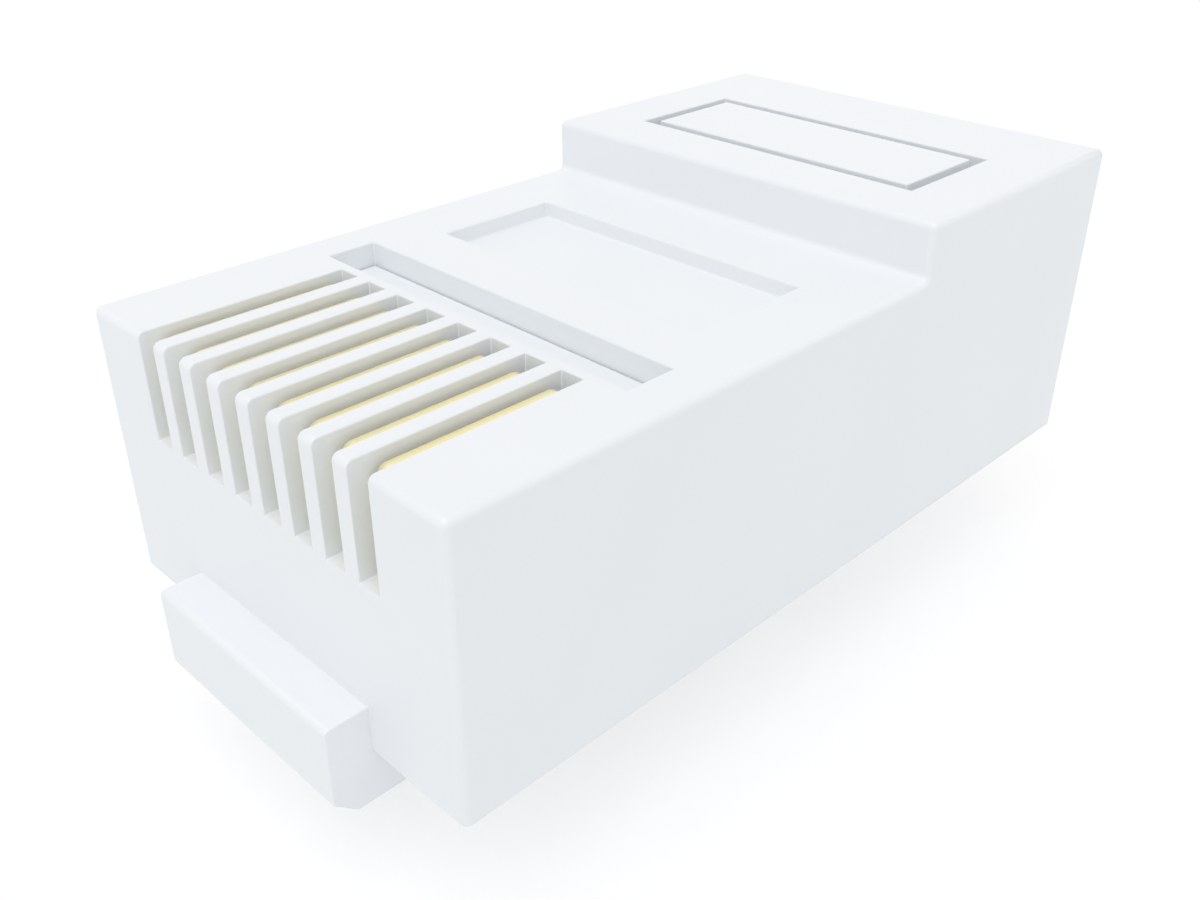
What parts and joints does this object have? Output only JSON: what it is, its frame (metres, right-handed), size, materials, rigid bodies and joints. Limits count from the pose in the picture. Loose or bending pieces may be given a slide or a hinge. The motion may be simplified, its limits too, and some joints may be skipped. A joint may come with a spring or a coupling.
{
  "type": "modular plug",
  "caption": "Modular plug for round network cable: a stepped plastic body, a comb of slotted blade contacts at the nose, a bending latch and press-in clamps.",
  "frame": {"origin": "middle of the nose face, half way up the nose and on the plug's middle plane", "axes": "+Y from the nose to the cable, +Z from the latch side to the contacts, +X to the side of contact 1"},
  "size_m": [0.0116, 0.0222, 0.0111],
  "materials": {
    "moulded_body": "moulded polycarbonate, pale and smooth",
    "wire_comb": "moulded polycarbonate, inside the body",
    "gold_contact": "stamped phosphor bronze, plated with gold"
  },
  "bodies": {
    "plug_body": {"housing": "moulded_body", "load_bar": "wire_comb"},
    "latch": {"latch_lever": "moulded_body"},
    "wire_clamp": {"conductor_clamp": "moulded_body"},
    "cable_clamp": {"jacket_clamp": "moulded_body"},
    "blade_1": {"contact_1": "gold_contact"},
    "blade_2": {"contact_2": "gold_contact"},
    "blade_3": {"contact_3": "gold_contact"},
    "blade_4": {"contact_4": "gold_contact"},
    "blade_5": {"contact_5": "gold_contact"},
    "blade_6": {"contact_6": "gold_contact"},
    "blade_7": {"contact_7": "gold_contact"},
    "blade_8": {"contact_8": "gold_contact"}
  },
  "joints": [
    {"name": "latch_flex", "type": "hinge", "parent": "plug_body", "child": "latch", "pos_m": [0, 0.00115, -0.00398], "axis": [1, 0, 0], "range_deg": [0, 7.5], "stiffness_Nm_per_rad": 0.5},
    {"name": "conductor_clamp_press", "type": "slide", "parent": "plug_body", "child": "wire_clamp", "axis": [0, 0, -1], "range_m": [0, 0.0008]},
    {"name": "jacket_clamp_press", "type": "slide", "parent": "plug_body", "child": "cable_clamp", "axis": [0, 0, -1], "range_m": [0, 0.0014]},
    {"name": "contact_1_press", "type": "slide", "parent": "plug_body", "child": "blade_1", "axis": [0, 0, -1], "range_m": [0, 0.00037]},
    {"name": "contact_2_press", "type": "slide", "parent": "plug_body", "child": "blade_2", "axis": [0, 0, -1], "range_m": [0, 0.00037]},
    {"name": "contact_3_press", "type": "slide", "parent": "plug_body", "child": "blade_3", "axis": [0, 0, -1], "range_m": [0, 0.00037]},
    {"name": "contact_4_press", "type": "slide", "parent": "plug_body", "child": "blade_4", "axis": [0, 0, -1], "range_m": [0, 0.00037]},
    {"name": "contact_5_press", "type": "slide", "parent": "plug_body", "child": "blade_5", "axis": [0, 0, -1], "range_m": [0, 0.00037]},
    {"name": "contact_6_press", "type": "slide", "parent": "plug_body", "child": "blade_6", "axis": [0, 0, -1], "range_m": [0, 0.00037]},
    {"name": "contact_7_press", "type": "slide", "parent": "plug_body", "child": "blade_7", "axis": [0, 0, -1], "range_m": [0, 0.00037]},
    {"name": "contact_8_press", "type": "slide", "parent": "plug_body", "child": "blade_8", "axis": [0, 0, -1], "range_m": [0, 0.00037]}
  ]
}
